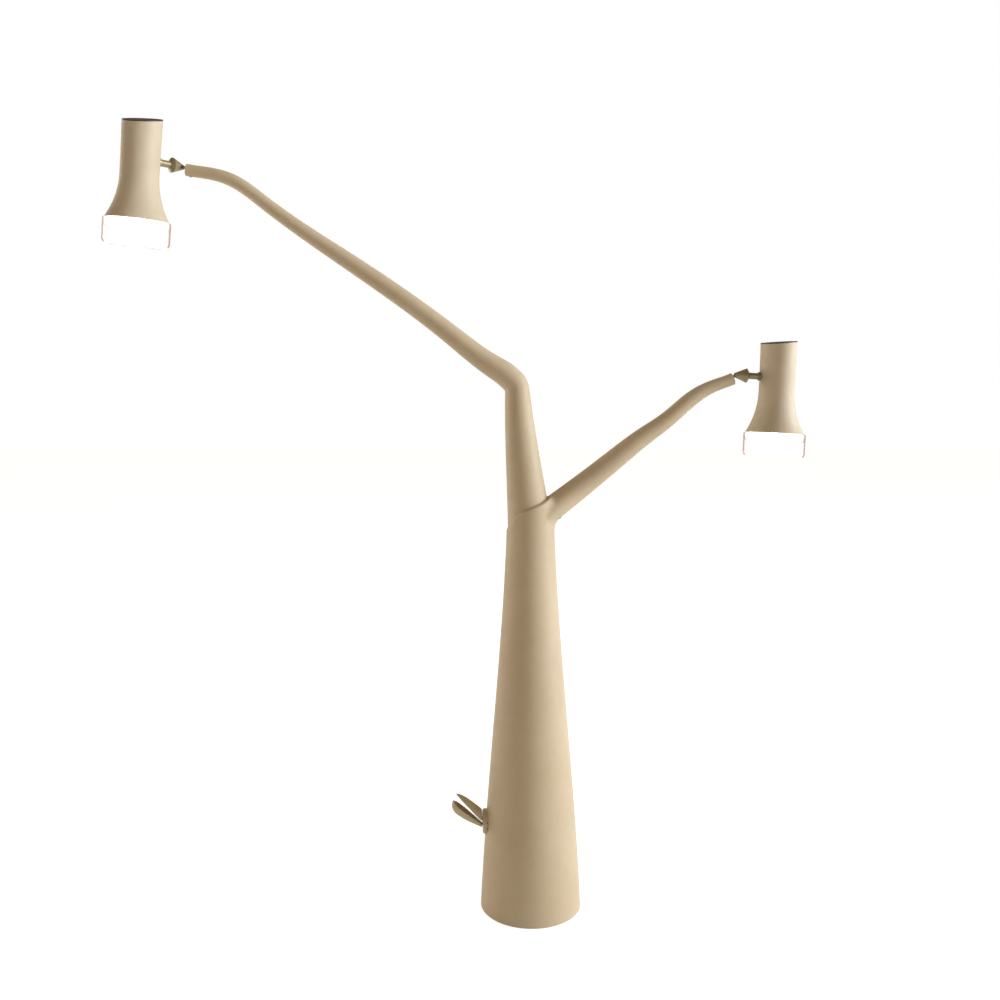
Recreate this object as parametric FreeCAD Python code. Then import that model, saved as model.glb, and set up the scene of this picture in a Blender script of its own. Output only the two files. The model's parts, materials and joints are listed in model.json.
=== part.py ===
import FreeCAD
import Part
import math
import os

# Tree floor lamp. Millimetres, +Z up, origin at the centre of the foot, +X towards the low branch,
# -Y towards the viewer. A weighted, hollow trunk bends over into a short branch on the right; a
# second trunk rises out of its mouth and turns into a long arm on the left. Each arm carries a
# flared spotlight on a jointed neck, and two small leaves near the foot are the touch levers.

V = FreeCAD.Vector
UP = V(0, 0, 1)
SIDE = V(0, 1, 0)
ORIGIN = V(0, 0, 0)
TOLERANCE_PAD = 1.0          # how far a cutting tool runs past the face that it opens

# ---- fits ----
SEAT = 0.3                   # gap between covers and what they sit on
RUNNING = 0.05               # radial clearance of a turning shaft
SCREW_FIT = 0.05             # radial clearance of a screw in its hole

# ---- foot ----
FOOT_HEIGHT = 2.0
FOOT_INSET = 18.0            # rubber ring to the trunk's lower edge
FOOT_RING_WIDTH = 20.0
PLATE_THICKNESS = 8.0
PLATE_INSET = 1.0            # plate to the inside of the trunk's wall
BALLAST_INSET = 26.0         # ballast to the trunk's lower edge
BALLAST_HEIGHT = 52.0
BALLAST_BORE_R = 24.0
BALLAST_BEVEL = 5.0
M8_R = 4.0
M8_HEAD_R = 6.5
M8_HEAD_HEIGHT = 5.0
M8_LENGTH = 26.0
BASE_SCREW_INSET = 54.0
BASE_SCREW_COUNT = 4
COVER_BOSS_R = 7.5
COVER_BOSS_HEIGHT = 20.0
COVER_BOSS_INSET = 13.5
COVER_SCREW_COUNT = 3
M5_R = 2.5
M5_HEAD_R = 4.5
M5_HEAD_HEIGHT = 4.0
M5_LENGTH = 16.0

# ---- mast ----
MAST_R = 25.0
MAST_WALL = 2.5
MAST_FLANGE_R = 58.0
MAST_FLANGE_THICKNESS = 8.0
MAST_SCREW_CIRCLE_R = 43.0
MAST_SCREW_COUNT = 4
MAST_TOP = 925.0

# ---- trunk cover: height and outer radius, foot to shoulder ----
TRUNK_BASE_R = 130.0
TRUNK_NECK_TOP = 1100.0
TRUNK_NECK_TOP_R = 61.7
# heights, and share of the flare from the neck's radius to the base's
TRUNK_STATIONS = ((338.0, 0.678), (674.0, 0.276), (968.0, 0.022))
TRUNK_WALL = 5.0
TRUNK_BOTTOM = FOOT_HEIGHT
# lip round the mouth: the roof line seen from the front, left to right
ROOF_LEFT = (-63.0, 975.0)
ROOF_BEND = (-40.5, 1018.0)
ROOF_CROWN = (-1.0, 1042.0)
ROOF_RIGHT = (52.0, 1068.5)
ROOF_RIGHT_SLOPE = 37.6
ROOF_THICKNESS = 9.0
LIP_RADIUS = 5.5

# ---- low branch: points on its axis (x, z) and radius there; the root is wide in y ----
BRANCH_ROOT = (-4.0, 988.0)
BRANCH_ROOT_WIDE_R = 57.0
BRANCH_BLEND_R = 40.0        # fillet where the branch leaves the trunk
BRANCH_FLARE = (40.0, 1021.6, 32.8, 50.0)   # the root is still wide in y here
BRANCH_STATIONS = ((88.6, 1058.6, 31.5), (184.5, 1132.7, 28.5), (312.7, 1232.2, 23.6),
                   (409.0, 1307.1, 20.4))
BRANCH_ROOT_R = 33.5
BRANCH_SHOULDER_WIDE_R = 38.0
BRANCH_KNEE = (470.0, 1349.5, 17.6)
BRANCH_KNEE_ANGLE = 33.0
BRANCH_TIP = (541.0, 1377.0, 16.0)
BRANCH_TIP_ANGLE = 20.0
BRANCH_WALL = 3.5

# ---- upper trunk and long arm ----
UPPER_FOOT = (0.9, 955.0, 60.4)
UPPER_MID = (-12.7, 1094.0, 49.8)
UPPER_NECK = (-29.2, 1262.0, 37.9)
ELBOW = (-36.0, 1361.5, 32.3)
ELBOW_BEND_R = 39.0          # radius of the elbow's centre line
UPPER_SKIRT = 12.0           # how far the upper trunk goes on below the lip
ARM_STATIONS = ((-99.0, 1408.0, 30.2), (-211.0, 1491.8, 25.6), (-468.9, 1674.9, 21.6),
                (-690.0, 1827.5, 17.0))
ARM_KNEE = (-779.3, 1886.0, 16.3)
ARM_KNEE_ANGLE = 24.0
ARM_TIP = (-884.0, 1906.5, 15.2)
ARM_TIP_ANGLE = 8.0
ARM_WALL = 3.5

# ---- steel tubes inside the branch and the arm ----
CORE_R = 9.0
CORE_WALL = 2.0
CORE_KNEE_BEND_R = 200.0
CORE_ELBOW_BEND_R = 36.0
CORE_ARM_BEND_R = 1500.0
CORE_IN_CAP = 14.0
END_CAP_SOLID = 18.0         # solid length of a cap, in front of the tube that it plugs
END_CAP_COLLAR = 1.5         # length of the cap's rim that shows past the cover
END_CAP_STRAIGHT = 34.0      # straight length of the covers behind their ends
NECK_OFFSET = 5.0            # the neck leaves the cap a little above its centre

# ---- casting that joins the mast and both tubes ----
FORK_SPIGOT_DEPTH = 30.0
FORK_BALL_R = 30.0
FORK_CENTRE_Z = 975.0
FORK_SOCKET_R = 14.0
FORK_SOCKET_LENGTH = 52.0
FORK_SOCKET_FLOOR = 18.0     # distance from the casting's centre to a tube's end
GRUB_R = 2.5
GRUB_LENGTH = 4.8
GRUB_INSET = 10.0            # grub screw to the socket's mouth

# ---- driver on the mast ----
TRAY_COLLAR_R = 31.0
TRAY_COLLAR_HEIGHT = 24.0
TRAY_THICKNESS = 3.0
TRAY_STANDOFF = 36.0
TRAY_BOTTOM = 90.0
DRIVER_WIDTH = 62.0
DRIVER_DEPTH = 30.0
DRIVER_HEIGHT = 160.0
DRIVER_WALL = 2.0
DRIVER_LID = 3.0
TRAY_BORDER = 6.0
M3_R = 1.5
M3_HEAD_R = 2.8
M3_HEAD_HEIGHT = 1.8
DRIVER_SCREW_INSET = 5.0
DRIVER_POST_R = 3.2
DRIVER_SCREW_LENGTH = 10.0
TRAY_WEB = 12.0
BOARD_THICKNESS = 1.6
BOARD_STANDOFF = 4.0
BOARD_GAP = 9.0

# ---- cable inlet, low at the back ----
INLET_Z = 84.0
INLET_R = 9.0
INLET_BORE_R = 4.0
INLET_FLANGE_R = 13.5
INLET_PROUD = 4.0
INLET_NUT_R = 13.0
INLET_INNER_END = 14.0       # how far the bush runs inside the wall's outer face

# ---- leaves and their boss ----
LEAF_Z = 219.0
BOSS_FLANGE_R = 31.0
BOSS_PROUD = 8.5
BOSS_ROUND = 5.0
BOSS_BARREL_R = 19.0
BOSS_DEPTH = 30.0            # barrel length inside the trunk's outer face
LEAF_LUG_THICKNESS = 5.0
LEAF_SLOT_WIDTH = 5.8
LEAF_SLOT_HEIGHT = 10.0
LEAF_BAR_HEIGHT = 7.0
LEAF_BAR_REACH = 12.0        # how far the lever's bar runs past the boss
LEAF_PIVOT_INSET = 2.0       # pivots sit this far inside the trunk's outer face
LEAF_PIVOT_SPREAD = 14.0
LEAF_PIN_R = 1.8
LEAF_PIN_HALF = 15.0
LEAF_BLADE_WALL = 3.0
LEAF_BASE_GAP = 2.2          # blade to boss
LEAF_TAIL_HEIGHT = 5.0
LEAF_TAIL_GAP = 1.0          # gap between a lever's inner end and its sensor
# root of each blade's rim (out from the trunk, up from the boss), its length, slope, side of its back and profile (share, depth)
UPPER_LEAF = ((5.0, 0.0), 104.0, 45.0, 1,
              ((0.0, 9.0), (0.16, 17.0), (0.42, 16.5), (0.72, 12.0), (0.92, 5.5)))
LOWER_LEAF = ((5.0, -10.0), 104.0, 38.5, -1,
              ((0.0, 8.0), (0.3, 15.0), (0.62, 20.0), (0.84, 18.5), (0.96, 10.0)))
LEAF_CUP_START = 0.24        # share of the blade's length that stays solid at its root
LEAF_CUP_END = 0.95          # share at which the hollow ends
SENSOR_DEPTH = 12.0
SENSOR_WIDTH = 16.0
BOSS_NUT_R = 26.0
BOSS_NUT_DEPTH = 14.0

# ---- small screws that show ----
SKIN_SCREW_R = 3.4
SKIN_SCREW_HEAD = 2.0
SKIN_SCREW_SHANK_R = 1.6
BRANCH_SCREW_BACK = 39.0     # back from the first branch station
BRANCH_SCREW_TURN = 51.0     # degrees below the side that faces the viewer
BRANCH_SCREW_LENGTH = 12.0
ARM_SCREW_BACK = 12.5        # back from the arm's end, on its underside
ARM_SCREW_GAP = 0.15

# ---- jointed neck of a head ----
NECK_GAP = 7.0               # free length between the arm's end and the cone
NECK_R = 4.0
NECK_TONGUE = 4.4
NECK_SHANK = 15.0
NECK_ROUND = 5.0             # round length outside the cap, before the flat tongue
CONE_NOSE = 9.0              # nose of the cone to the hinge
CONE_NOSE_R = 5.2
CONE_FACE = 24.0             # hinge to the cone's widest edge
CONE_R = 19.2
CONE_BACK = 6.0
CONE_BACK_R = 9.5
CONE_SLOT_SIDE = 0.1         # clearance on each side of the tongue
CONE_SLOT_END = 6.4
HINGE_PIN_R = 2.0
HINGE_PIN_HALF = 8.4
STEM_R = 8.6
STEM_LENGTH = 32.0           # from the cone's back to the shade
STEM_COLLAR_R = 11.5
STEM_COLLAR = 5.0
SPIGOT_R = 5.0
HUB_R = 14.0
HUB_DEPTH = 12.0
NUT_R = 9.0
NUT_THICKNESS = 5.0
HUB_COVER_GAP = 1.5          # round the nut
HUB_COVER_WALL = 1.5

# ---- head: heights along the shade's axis, from the stem up ----
SHADE_TOP = 94.5
SHADE_HEIGHT = 243.5
SHADE_TOP_R = 47.6
SHADE_WAIST_R = 46.4
SHADE_RIM_R = 76.0
SHADE_FLARE = 110.0          # height above the rim at which the flare starts
SHADE_WALL = 2.0
SHADE_SIDE_MARGIN = 16.0     # the side runs this far past the slanted top before it is trimmed
CAP_THICKNESS = 2.0
CAP_PLUG_DEPTH = 5.0
CAP_PLUG_WALL = 2.0
CAP_SLOTS = 8
CAP_SLOT_LENGTH = 16.0
CAP_SLOT_WIDTH = 3.0
CAP_SLOT_CIRCLE_R = 25.0
GLASS_R = 80.0
GLASS_HEIGHT = 66.0
GLASS_CORNER_R = 14.0
GLASS_SHOULDER_R = 4.0
GLASS_NECK_R = 65.0
GLASS_NECK_HEIGHT = 8.0      # upper lip that stands inside the shade
GLASS_BOWL_R = 60.0
GLASS_BOWL_DEPTH = 50.0
GLASS_BOWL_MID_DEG = 40.0    # a point part of the way up the bowl's round side
GLASS_RING_HEIGHT = 3.0
GLASS_RING_INNER_R = 57.0
REFLECTOR_TOP_R = 25.0
REFLECTOR_TOP = 84.0         # height above the rim
REFLECTOR_RIM_INSET = 2.0
REFLECTOR_WALL = 1.2
HOLDER_R = 20.0
HOLDER_TOP = 118.0
HOLDER_BOTTOM = 80.0
HOLDER_SOCKET_DEPTH = 28.0
BRIDGE_THICKNESS = 3.0
BRIDGE_WIDTH = 24.0
BULB_R = 30.0
BULB_CENTRE = 30.0
BULB_SCREW_R = 13.2
BULB_SCREW_LENGTH = 25.0
BULB_NECK_R = 16.0

# name, side, arm tip, tip elevation, lean of the shade to +X, lean to the viewer, swing to the viewer,
# then the slant of the shade's top, away from the stem and across it
HEADS = (
    ("left", -1, ARM_TIP, ARM_TIP_ANGLE, 5.2, 7.0, 46.0, -12.5, -7.5),
    ("right", 1, BRANCH_TIP, BRANCH_TIP_ANGLE, 3.0, 0.0, 0.0, 7.0, 6.0),
)


# ---------------------------------------------------------------- helpers
def xz(point):
    """A point of the arms' plane, given as (x, z) or (x, z, radius)."""
    return V(point[0], 0, point[1])


def toward(angle, side=1):
    """Unit vector in the arms' plane, at an elevation in degrees."""
    tilt = math.radians(angle)
    return V(side * math.cos(tilt), 0, math.sin(tilt))


def unit(vector):
    copy = V(vector)
    copy.normalize()
    return copy


def placement(origin, x_axis, z_axis):
    """Placement whose local X and Z lie along the given directions."""
    z = unit(z_axis)
    x = unit(x_axis - z * x_axis.dot(z))
    y = z.cross(x)
    rows = (x.x, y.x, z.x, origin.x, x.y, y.y, z.y, origin.y, x.z, y.z, z.z, origin.z, 0, 0, 0, 1)
    return FreeCAD.Placement(FreeCAD.Matrix(*rows))


def placed(shape, where):
    copy = shape.copy()
    copy.Placement = where.multiply(copy.Placement)
    return copy


def rod(radius, start, end):
    return Part.makeCylinder(radius, (end - start).Length, start, end - start)


def tube(outer, inner, start, end):
    return rod(outer, start, end).cut(rod(inner, start, end))


def block(x_range, y_range, z_range):
    size = [high - low for low, high in (x_range, y_range, z_range)]
    return Part.makeBox(*size, V(x_range[0], y_range[0], z_range[0]))


def revolve(edges):
    """Solid of revolution about Z from edges of a closed outline in the XZ plane."""
    face = Part.Face(Part.Wire(edges))
    return face.revolve(ORIGIN, UP, 360)


def line(a, b):
    return Part.makeLine(V(a[0], 0, a[1]), V(b[0], 0, b[1]))


def arc(a, middle, b):
    return Part.Arc(xz(a), xz(middle), xz(b)).toShape()


def spline(points):
    curve = Part.BSplineCurve()
    curve.interpolate([xz(p) for p in points])
    return curve.toShape()


def fused(shapes):
    result = shapes[0]
    for shape in shapes[1:]:
        result = result.fuse(shape)
    return result.removeSplitter()


def section(centre, direction, in_plane_r, wide_r):
    """Round or oval outline square to a direction in the arms' plane; wide_r lies along Y."""
    if abs(in_plane_r - wide_r) < 0.01:
        round_one = Part.Circle(centre, direction, in_plane_r)
        round_one.XAxis = SIDE
        return Part.Wire(round_one.toShape())
    across = unit(direction.cross(SIDE))
    if wide_r > in_plane_r:
        oval = Part.Ellipse(centre + SIDE * wide_r, centre + across * in_plane_r, centre)
    else:
        oval = Part.Ellipse(centre + across * in_plane_r, centre + SIDE * wide_r, centre)
    return Part.Wire(oval.toShape())


def bent_tube(points, radius, wall, bends):
    """Tube along straight runs with a tangent arc at each inner point."""
    edges = []
    last = points[0]
    for before, corner, after, bend in zip(points, points[1:], points[2:], bends):
        arriving = unit(corner - before)
        leaving = unit(after - corner)
        half_turn = arriving.getAngle(leaving) / 2
        reach = bend * math.tan(half_turn)
        enter = corner - arriving * reach
        leave = corner + leaving * reach
        inward = unit(leaving - arriving)
        middle = corner + inward * (bend / math.cos(half_turn) - bend)
        edges.append(Part.makeLine(last, enter))
        edges.append(Part.Arc(enter, middle, leave).toShape())
        last = leave
    edges.append(Part.makeLine(last, points[-1]))
    path = Part.Wire(edges)
    start_direction = points[1] - points[0]
    solids = []
    for size in (radius, radius - wall):
        ring = Part.Wire(Part.Circle(points[0], start_direction, size).toShape())
        solids.append(path.makePipeShell([ring], True, False))
    return solids[0].cut(solids[1])


def save(name, shape):
    solids = shape.Solids
    if len(solids) == 1:
        shape = solids[0]
    if not shape.isValid() or not solids:
        raise ValueError(name + " is not a valid solid")
    shape.exportStep(os.path.join("parts", name + ".step"))
    return shape


# ---------------------------------------------------------------- trunk cover
def trunk_radii(inset):
    flare = TRUNK_BASE_R - TRUNK_NECK_TOP_R
    stations = [(0.0, 1.0)] + list(TRUNK_STATIONS)
    return [(TRUNK_NECK_TOP_R + flare * share - inset, height) for height, share in stations]


def trunk_body(inset, bottom, top=TRUNK_NECK_TOP):
    """The trunk's round form, inset by a wall, from a height to the top of its neck."""
    side = trunk_radii(inset)
    neck_r = TRUNK_NECK_TOP_R - inset
    edges = [
        spline(side),
        line(side[-1], (neck_r, TRUNK_NECK_TOP)),
        line((neck_r, TRUNK_NECK_TOP), (0, TRUNK_NECK_TOP)),
        line((0, TRUNK_NECK_TOP), (0, 0)),
        line((0, 0), side[0]),
    ]
    keep = Part.makeCylinder(2 * TRUNK_BASE_R, top - bottom, V(0, 0, bottom))
    return revolve(edges).common(keep)


def trunk_radius_at(height):
    """Outer radius of the trunk at a height, read from its own outline."""
    side = spline(trunk_radii(0.0))
    level = Part.makeLine(V(0, 0, height), V(2 * TRUNK_BASE_R, 0, height))
    return side.distToShape(level)[1][0][0].x


def roof_cutter(drop):
    """Everything above the roof line, lowered by a drop; the same shape all along Y."""
    far = 4 * TRUNK_BASE_R
    left, bend, crown, right = [(x, z - drop) for x, z in (ROOF_LEFT, ROOF_BEND, ROOF_CROWN, ROOF_RIGHT)]
    slope = math.tan(math.radians(ROOF_RIGHT_SLOPE))
    end = (far, right[1] + (far - right[0]) * slope)
    start_slope = (bend[1] - left[1]) / (bend[0] - left[0])
    start = (left[0] - far, left[1] - far * start_slope)
    curve = Part.BSplineCurve()
    tangents = [V(1, 0, start_slope), V(1, 0, slope)]
    curve.interpolate(Points=[xz(p) for p in (left, bend, crown, right)],
                      InitialTangent=tangents[0], FinalTangent=tangents[1])
    roof_top = end[1] + far
    edges = [line(start, left), curve.toShape(), line(right, end), line(end, (end[0], roof_top)),
             line((end[0], roof_top), (start[0], roof_top)), line((start[0], roof_top), start)]
    face = Part.Face(Part.Wire(edges))
    face.translate(V(0, -far, 0))
    return face.extrude(V(0, 2 * far, 0))


def branch_body(inset, trim=0.0):
    """The low branch: oval where it leaves the trunk, round further out, with a bent tip."""
    root_direction = unit(xz(BRANCH_STATIONS[0]) - xz(BRANCH_ROOT))
    rings = [section(xz(BRANCH_ROOT), root_direction, BRANCH_ROOT_R - inset, BRANCH_ROOT_WIDE_R - inset)]
    rings.append(section(xz(BRANCH_FLARE), root_direction, BRANCH_FLARE[2] - inset,
                         BRANCH_FLARE[3] - inset))
    wide = (BRANCH_SHOULDER_WIDE_R,) + tuple(station[2] for station in BRANCH_STATIONS[1:])
    for index, station in enumerate(BRANCH_STATIONS):
        if index + 1 < len(BRANCH_STATIONS):
            ahead = xz(BRANCH_STATIONS[index + 1])
        else:
            ahead = xz(BRANCH_KNEE)
        direction = unit(ahead - xz(station))
        rings.append(section(xz(station), direction, station[2] - inset, wide[index] - inset))
    knee_direction = toward(BRANCH_KNEE_ANGLE)
    rings.append(section(xz(BRANCH_KNEE), knee_direction, BRANCH_KNEE[2] - inset, BRANCH_KNEE[2] - inset))
    tip_direction = toward(BRANCH_TIP_ANGLE)
    tip = xz(BRANCH_TIP) - tip_direction * trim
    tip_r = BRANCH_TIP[2] - inset
    half_way = tip - tip_direction * (END_CAP_STRAIGHT)
    rings.append(section(half_way, tip_direction, tip_r, tip_r))
    rings.append(section(tip, tip_direction, tip_r, tip_r))
    return Part.makeLoft(rings, True, False)


# ---------------------------------------------------------------- upper trunk and arm
ARM_WAY = unit(xz(ARM_STATIONS[0]) - xz(ELBOW))
ELBOW_WAY = unit(xz(ELBOW) - xz(UPPER_NECK))
ELBOW_REACH = ELBOW_BEND_R * math.tan(ELBOW_WAY.getAngle(ARM_WAY) / 2)
ELBOW_START = xz(ELBOW) - ELBOW_WAY * ELBOW_REACH
ELBOW_END = xz(ELBOW) + ARM_WAY * ELBOW_REACH


def upper_trunk(inset):
    """Leaning upper trunk, from below the lip up to the elbow."""
    centres = [xz(UPPER_FOOT), xz(UPPER_MID), xz(UPPER_NECK), ELBOW_START]
    radii = [UPPER_FOOT[2], UPPER_MID[2], UPPER_NECK[2], ELBOW[2]]
    rings = []
    for index, centre in enumerate(centres):
        ahead = centres[min(index + 1, len(centres) - 1)]
        behind = centres[max(index - 1, 0)]
        direction = unit(ahead - behind)
        rings.append(section(centre, direction, radii[index] - inset, radii[index] - inset))
    return Part.makeLoft(rings, True, False)


def elbow_bend(inset):
    """Round bend from the upper trunk into the arm, turned about a line along Y."""
    inward = unit(ARM_WAY - ELBOW_WAY * ARM_WAY.dot(ELBOW_WAY))
    pivot = ELBOW_START + inward * ELBOW_BEND_R
    disc = Part.Face(section(ELBOW_START, ELBOW_WAY, ELBOW[2] - inset, ELBOW[2] - inset))
    turn = math.degrees(ELBOW_WAY.getAngle(ARM_WAY))
    return disc.revolve(pivot, ELBOW_WAY.cross(ARM_WAY), turn)


def arm_body(inset, trim=0.0):
    """Long tapering arm from the elbow to its bent tip."""
    rings = [section(ELBOW_END, ARM_WAY, ELBOW[2] - inset, ELBOW[2] - inset)]
    for index, station in enumerate(ARM_STATIONS):
        if index + 1 < len(ARM_STATIONS):
            ahead = xz(ARM_STATIONS[index + 1])
        else:
            ahead = xz(ARM_KNEE)
        direction = unit(ahead - xz(station))
        rings.append(section(xz(station), direction, station[2] - inset, station[2] - inset))
    rings.append(section(xz(ARM_KNEE), toward(ARM_KNEE_ANGLE, -1), ARM_KNEE[2] - inset,
                         ARM_KNEE[2] - inset))
    tip_direction = toward(ARM_TIP_ANGLE, -1)
    tip = xz(ARM_TIP) - tip_direction * trim
    tip_r = ARM_TIP[2] - inset
    half_way = tip - tip_direction * (END_CAP_STRAIGHT)
    rings.append(section(half_way, tip_direction, tip_r, tip_r))
    rings.append(section(tip, tip_direction, tip_r, tip_r))
    return Part.makeLoft(rings, True, False)


TRUNK_SOLID = trunk_body(0.0, TRUNK_BOTTOM)
TRUNK_CAVITY = trunk_body(TRUNK_WALL, 0.0)


def ring_points(count, radius, height, start_deg=0.0):
    """Evenly spaced points on a level circle."""
    turns = [math.radians(start_deg + 360.0 * index / count) for index in range(count)]
    return [V(radius * math.cos(turn), radius * math.sin(turn), height) for turn in turns]


def screw(seat, direction, shank_r, length, head_r, head_height):
    """Screw whose head sits on a face, with its shank along a direction."""
    way = unit(direction)
    head = rod(head_r, seat - way * head_height, seat)
    return head.fuse(rod(shank_r, seat, seat + way * length))


def drilled(shape, points, direction, radius, length):
    for point in points:
        shape = shape.cut(rod(radius, point, point + direction * length))
    return shape


COVER_SCREW_POINTS = ring_points(COVER_SCREW_COUNT, TRUNK_BASE_R - COVER_BOSS_INSET, FOOT_HEIGHT, 30.0)


def junction_edges(body):
    """Edges along which the branch leaves the trunk's side, up to the lip."""
    edges = []
    for edge in body.Edges:
        box = edge.BoundBox
        beside = box.XMin > TRUNK_NECK_TOP_R / 2 and box.XMax < TRUNK_NECK_TOP_R + LIP_RADIUS
        level = box.ZMin > BRANCH_ROOT[1] - LIP_RADIUS and box.ZMax < ROOF_RIGHT[1] + LIP_RADIUS
        if beside and level and box.YLength > LIP_RADIUS:
            edges.append(edge)
    return edges


def make_trunk_shell():
    outer = TRUNK_SOLID.cut(roof_cutter(0.0))
    lip = [edge for edge in outer.Edges
           if edge.BoundBox.ZMin > ROOF_LEFT[1] - 30 and abs(edge.BoundBox.YMin) > LIP_RADIUS]
    outer = outer.makeFillet(LIP_RADIUS, lip)
    outer = fused([outer, branch_body(0.0, END_CAP_COLLAR)])
    outer = outer.makeFillet(BRANCH_BLEND_R, junction_edges(outer))
    hollow = TRUNK_CAVITY.cut(roof_cutter(ROOF_THICKNESS))
    hollow = hollow.fuse(branch_body(BRANCH_WALL, -TOLERANCE_PAD))
    mouth = upper_trunk(-SEAT).common(roof_cutter(UPPER_SKIRT + SEAT))
    shell = outer.cut(hollow).cut(mouth)
    shell = shell.cut(rod(BOSS_BARREL_R + SEAT / 2, V(-2 * TRUNK_BASE_R, 0, LEAF_Z), V(0, 0, LEAF_Z)))
    shell = shell.cut(rod(INLET_R + SEAT / 2, V(0, 0, INLET_Z), V(0, 2 * TRUNK_BASE_R, INLET_Z)))
    shell = shell.cut(branch_screw_tool(SEAT / 2))
    for point in COVER_SCREW_POINTS:
        low = V(point.x, point.y, FOOT_HEIGHT + PLATE_THICKNESS)
        boss = rod(COVER_BOSS_R, low, low + UP * COVER_BOSS_HEIGHT).common(TRUNK_SOLID)
        shell = shell.fuse(boss)
    shell = drilled(shell.removeSplitter(), COVER_SCREW_POINTS, UP, M5_R + SCREW_FIT,
                    PLATE_THICKNESS + M5_LENGTH)
    return save("trunk_shell", shell)


# ---------------------------------------------------------------- foot and mast
BALLAST_BOTTOM = FOOT_HEIGHT + PLATE_THICKNESS
BALLAST_TOP = BALLAST_BOTTOM + BALLAST_HEIGHT
BASE_SCREW_POINTS = ring_points(BASE_SCREW_COUNT, TRUNK_BASE_R - BASE_SCREW_INSET, FOOT_HEIGHT, 45.0)
MAST_SCREW_POINTS = ring_points(MAST_SCREW_COUNT, MAST_SCREW_CIRCLE_R, BALLAST_TOP + MAST_FLANGE_THICKNESS,
                                45.0)


def make_foot():
    ring_r = TRUNK_BASE_R - FOOT_INSET
    save("foot_ring", tube(ring_r, ring_r - FOOT_RING_WIDTH, ORIGIN, UP * FOOT_HEIGHT))
    plate_r = TRUNK_BASE_R - TRUNK_WALL - PLATE_INSET
    plate = rod(plate_r, UP * FOOT_HEIGHT,
                UP * BALLAST_BOTTOM).cut(rod(BALLAST_BORE_R, ORIGIN, UP * BALLAST_TOP))
    plate = drilled(plate, BASE_SCREW_POINTS, UP, M8_HEAD_R + SEAT, M8_HEAD_HEIGHT)
    plate = drilled(plate, BASE_SCREW_POINTS, UP, M8_R + SCREW_FIT, PLATE_THICKNESS)
    plate = drilled(plate, COVER_SCREW_POINTS, UP, M5_HEAD_R + SEAT, M5_HEAD_HEIGHT)
    plate = drilled(plate, COVER_SCREW_POINTS, UP, M5_R + SCREW_FIT, PLATE_THICKNESS)
    save("base_plate", plate)

    ballast = rod(TRUNK_BASE_R - BALLAST_INSET, UP * BALLAST_BOTTOM, UP * BALLAST_TOP)
    top_edge = [edge for edge in ballast.Edges if edge.BoundBox.ZMin > BALLAST_TOP - TOLERANCE_PAD]
    ballast = ballast.makeChamfer(BALLAST_BEVEL, top_edge)
    ballast = ballast.cut(rod(BALLAST_BORE_R, ORIGIN, UP * (BALLAST_TOP + TOLERANCE_PAD)))
    ballast = drilled(ballast, BASE_SCREW_POINTS, UP, M8_R + SCREW_FIT, M8_HEAD_HEIGHT + M8_LENGTH)
    ballast = drilled(ballast, MAST_SCREW_POINTS, -UP, M8_R + SCREW_FIT, M8_LENGTH)
    save("ballast", ballast)

    seats = [point + UP * M8_HEAD_HEIGHT for point in BASE_SCREW_POINTS]
    save("base_screws", Part.makeCompound([screw(seat, UP, M8_R, M8_LENGTH, M8_HEAD_R,
                                                 M8_HEAD_HEIGHT - SEAT)
                                           for seat in seats]))
    seats = [point + UP * M5_HEAD_HEIGHT for point in COVER_SCREW_POINTS]
    save("cover_screws", Part.makeCompound([screw(seat, UP, M5_R, M5_LENGTH, M5_HEAD_R,
                                                  M5_HEAD_HEIGHT - SEAT)
                                            for seat in seats]))


def make_mast():
    flange_top = BALLAST_TOP + MAST_FLANGE_THICKNESS
    mast = rod(MAST_FLANGE_R, UP * BALLAST_TOP,
               UP * flange_top).fuse(rod(MAST_R, UP * BALLAST_TOP, UP * MAST_TOP))
    mast = mast.cut(rod(MAST_R - MAST_WALL, UP * BALLAST_TOP, UP * MAST_TOP))
    mast = drilled(mast, MAST_SCREW_POINTS, -UP, M8_R + SCREW_FIT, MAST_FLANGE_THICKNESS)
    save("mast", mast.removeSplitter())
    save("mast_screws", Part.makeCompound([screw(seat, -UP, M8_R, M8_LENGTH, M8_HEAD_R, M8_HEAD_HEIGHT)
                                           for seat in MAST_SCREW_POINTS]))


# ---------------------------------------------------------------- casting and inner tubes
UPPER_WAY = unit(xz(UPPER_MID) - xz(UPPER_FOOT))
BRANCH_WAY = unit(xz(BRANCH_STATIONS[1]) - xz(BRANCH_ROOT))


def meeting(point_a, way_a, point_b, way_b):
    """Crossing of two lines of the arms' plane."""
    det = way_a.x * way_b.z - way_a.z * way_b.x
    gap = point_b - point_a
    share = (gap.x * way_b.z - gap.z * way_b.x) / det
    return point_a + way_a * share


FORK_CENTRE = V(0, 0, FORK_CENTRE_Z)
UPPER_AXIS_FOOT = meeting(FORK_CENTRE, V(1, 0, 0), xz(UPPER_FOOT), UPPER_WAY)
BRANCH_AXIS_FOOT = xz(BRANCH_ROOT)


def cap_rear(tip, way):
    """Where an inner tube ends inside its end cap."""
    return xz(tip) - way * END_CAP_SOLID


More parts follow.
